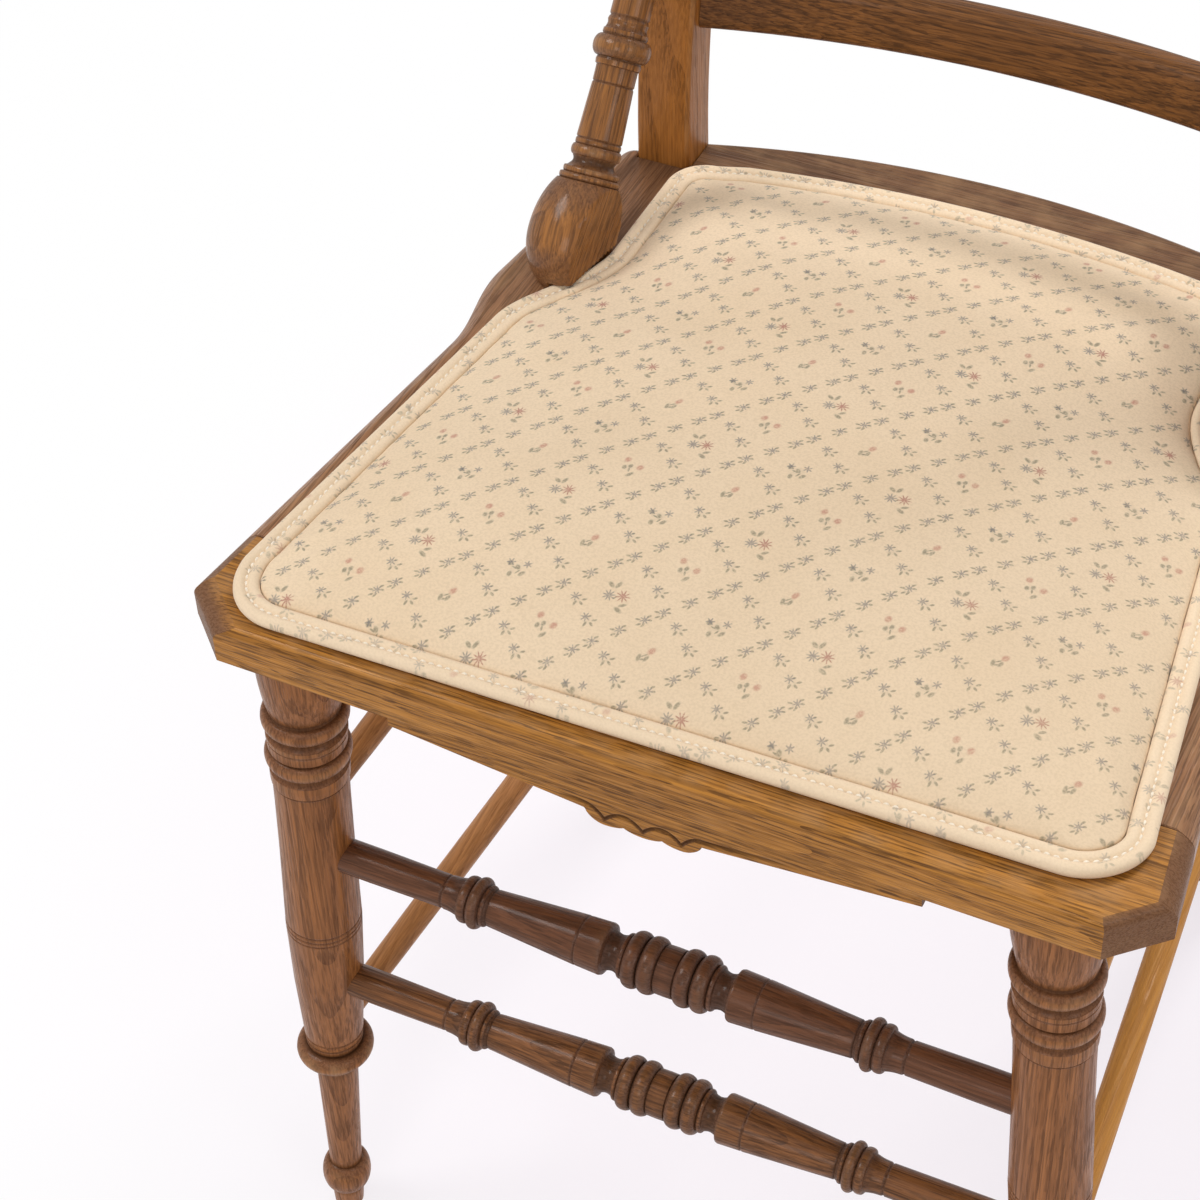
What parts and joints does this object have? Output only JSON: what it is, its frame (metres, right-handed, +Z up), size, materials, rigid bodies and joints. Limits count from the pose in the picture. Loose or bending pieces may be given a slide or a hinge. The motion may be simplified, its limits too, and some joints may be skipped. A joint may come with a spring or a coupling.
{
  "type": "pressed back dining chair",
  "caption": "Oak dining side chair with turned legs, hip braces, a bowed pressed back and an upholstered seat pad edged with double welt.",
  "frame": {"origin": "on the floor, at the centre of the chair's bounding box", "axes": "+Z up, +Y from the front of the seat to its back, +X to the right for a person facing the chair's front"},
  "size_m": [0.4356, 0.5266, 0.985],
  "materials": {
    "golden_oak": "satin varnish",
    "brown_oak": "satin varnish",
    "dark_oak": "satin varnish",
    "beech": "raw",
    "plywood": "raw",
    "steel": "plain",
    "cream_cloth": "woven cotton"
  },
  "bodies": {
    "root": {"back_spindle_1": "brown_oak", "back_spindle_2": "brown_oak", "back_spindle_3": "brown_oak", "back_spindle_4": "brown_oak", "back_spindle_5": "brown_oak", "crest_rail": "brown_oak", "double_welt": "cream_cloth", "dowel_back_left_1": "beech", "dowel_back_left_2": "beech", "dowel_back_right_1": "beech", "dowel_back_right_2": "beech", "dowel_front_left_1": "beech", "dowel_front_left_2": "beech", "dowel_front_right_1": "beech", "dowel_front_right_2": "beech", "finial_left": "brown_oak", "finial_right": "brown_oak", "front_apron": "golden_oak", "front_leg_left": "brown_oak", "front_leg_right": "brown_oak", "front_stretcher_lower": "dark_oak", "front_stretcher_upper": "dark_oak", "hip_brace_left": "brown_oak", "hip_brace_right": "brown_oak", "lower_back_rail": "brown_oak", "middle_back_rail": "brown_oak", "post_screw_left": "steel", "post_screw_right": "steel", "rear_post_left": "brown_oak", "rear_post_right": "brown_oak", "rear_stretcher": "golden_oak", "seat_back_rail": "dark_oak", "seat_board": "plywood", "seat_front_rail": "golden_oak", "seat_left_rail": "brown_oak", "seat_pad": "cream_cloth", "seat_right_rail": "brown_oak", "side_stretcher_lower_left": "golden_oak", "side_stretcher_lower_right": "golden_oak", "side_stretcher_upper_left": "golden_oak", "side_stretcher_upper_right": "golden_oak"}
  },
  "joints": []
}
